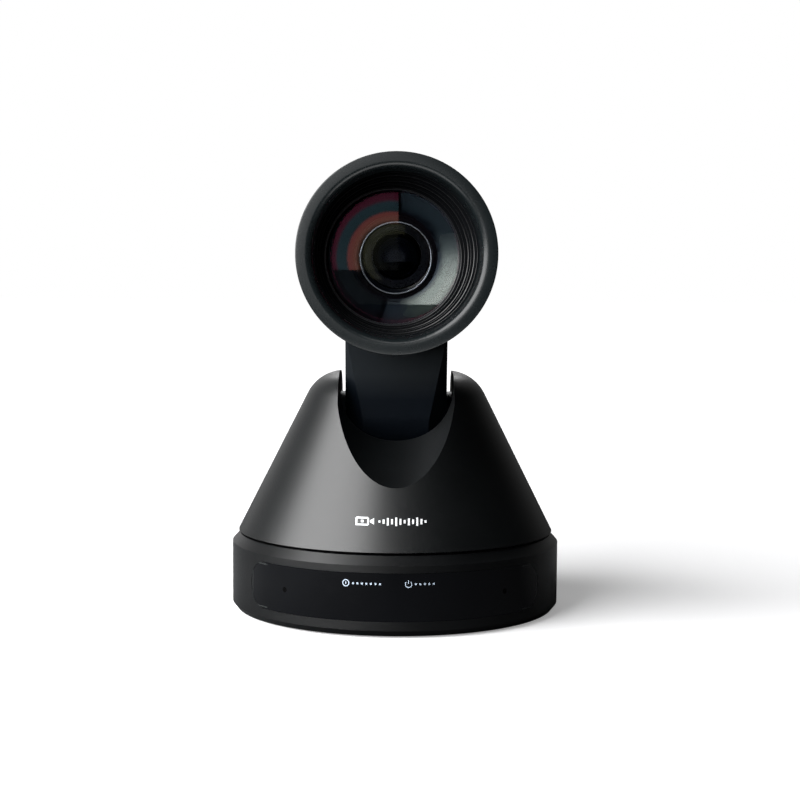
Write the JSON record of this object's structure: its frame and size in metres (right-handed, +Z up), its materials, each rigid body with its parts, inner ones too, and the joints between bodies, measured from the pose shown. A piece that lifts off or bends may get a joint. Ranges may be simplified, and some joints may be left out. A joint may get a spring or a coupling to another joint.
{
  "type": "conference camera",
  "caption": "Desktop pan-tilt-zoom conference camera: round base with glossy front window, cone turret with scooped ears, tilting neck and hooded zoom lens head.",
  "frame": {"origin": "mouth of the tripod thread in the middle of the base's underside, on the pan axis", "axes": "+Z up along the pan axis, -Y the way the lens looks, +X to the right as a viewer facing the lens sees it"},
  "size_m": [0.118, 0.128, 0.1585],
  "materials": {
    "shell": "satin",
    "ring": "satin",
    "window": "gloss",
    "baffle": "matte",
    "lens_metal": "satin",
    "front_glass": "coated",
    "inner_glass": "coated",
    "sensor": "gloss",
    "ir_plastic": "gloss",
    "circuit_board": "satin",
    "plate_paint": "satin",
    "port_black": "matte",
    "port_steel": "satin",
    "rubber": "matte",
    "cable_sleeve": "matte",
    "brass": "satin",
    "steel": "satin",
    "aluminium": "satin",
    "gear_plastic": "matte",
    "blade": "matte"
  },
  "bodies": {
    "base": {"base_plate": "plate_paint", "base_housing": "shell", "front_window": "window", "indicator_board": "circuit_board", "ir_receiver": "ir_plastic", "microphones": "aluminium", "main_board": "circuit_board", "io_panel": "port_black", "dc_jack": "port_black", "serial_port": "port_black", "usb_port": "port_steel", "hdmi_port": "port_steel", "lan_port": "port_steel", "rubber_feet": "rubber", "tripod_insert": "brass", "base_screws": "steel", "pan_motor": "aluminium", "motor_bracket": "aluminium", "bearing_outer": "steel", "bearing_balls": "steel"},
    "pinion": {"pan_pinion": "brass"},
    "turret": {"turret_shell": "shell", "turret_platform": "aluminium", "pan_spindle": "steel", "bearing_inner": "steel", "pan_gear": "gear_plastic", "gear_nut": "steel", "yoke_arm_left": "aluminium", "yoke_arm_right": "aluminium", "tilt_bushings": "brass", "tilt_motor": "aluminium", "tilt_belt": "rubber", "driver_board": "circuit_board", "wire_harness": "cable_sleeve", "turret_screws": "steel"},
    "tilt_drive": {"motor_pulley": "aluminium"},
    "head": {"neck_shell": "shell", "neck_cover": "shell", "tilt_shafts": "steel", "tilt_pulley": "aluminium", "head_barrel": "shell", "front_ring": "ring", "rear_cap": "shell", "hood_baffle": "baffle", "lens_retainer": "lens_metal", "front_element": "front_glass", "lens_block": "baffle", "inner_ring": "lens_metal", "guide_rods": "steel", "image_sensor": "sensor", "sensor_board": "circuit_board", "head_screws": "steel"},
    "zoom": {"zoom_group": "lens_metal", "zoom_lens": "inner_glass"},
    "focus": {"focus_group": "lens_metal"},
    "iris_a": {"iris_blade_a": "blade"},
    "iris_b": {"iris_blade_b": "blade"}
  },
  "joints": [
    {"name": "pan", "type": "hinge", "parent": "base", "child": "turret", "pos_m": [0, 0, 0.0237], "axis": [0, 0, 1], "range_deg": [-170, 170]},
    {"name": "pan_pinion_spin", "type": "hinge", "parent": "base", "child": "pinion", "pos_m": [0.028, 0, 0.015], "axis": [0, 0, 1], "range_deg": [-510, 510]},
    {"name": "tilt", "type": "hinge", "parent": "turret", "child": "head", "pos_m": [0, 0, 0.07], "axis": [-1, 0, 0], "range_deg": [-30, 90]},
    {"name": "tilt_motor_spin", "type": "hinge", "parent": "turret", "child": "tilt_drive", "pos_m": [0.02, -0.024, 0.044], "axis": [-1, 0, 0], "range_deg": [-60, 180]},
    {"name": "zoom_slide", "type": "slide", "parent": "head", "child": "zoom", "axis": [0, 1, 0], "range_m": [0, 0.012]},
    {"name": "focus_slide", "type": "slide", "parent": "head", "child": "focus", "axis": [0, 1, 0], "range_m": [-0.002, 0.004]},
    {"name": "iris_a_slide", "type": "slide", "parent": "head", "child": "iris_a", "axis": [-1, 0, 0], "range_m": [0, 0.005]},
    {"name": "iris_b_slide", "type": "slide", "parent": "head", "child": "iris_b", "axis": [1, 0, 0], "range_m": [0, 0.005]}
  ],
  "couplings": [
    {"joint": "pan_pinion_spin", "follows": "pan", "ratio": -3},
    {"joint": "tilt_motor_spin", "follows": "tilt", "ratio": 2},
    {"joint": "iris_b_slide", "follows": "iris_a_slide", "ratio": 1}
  ]
}
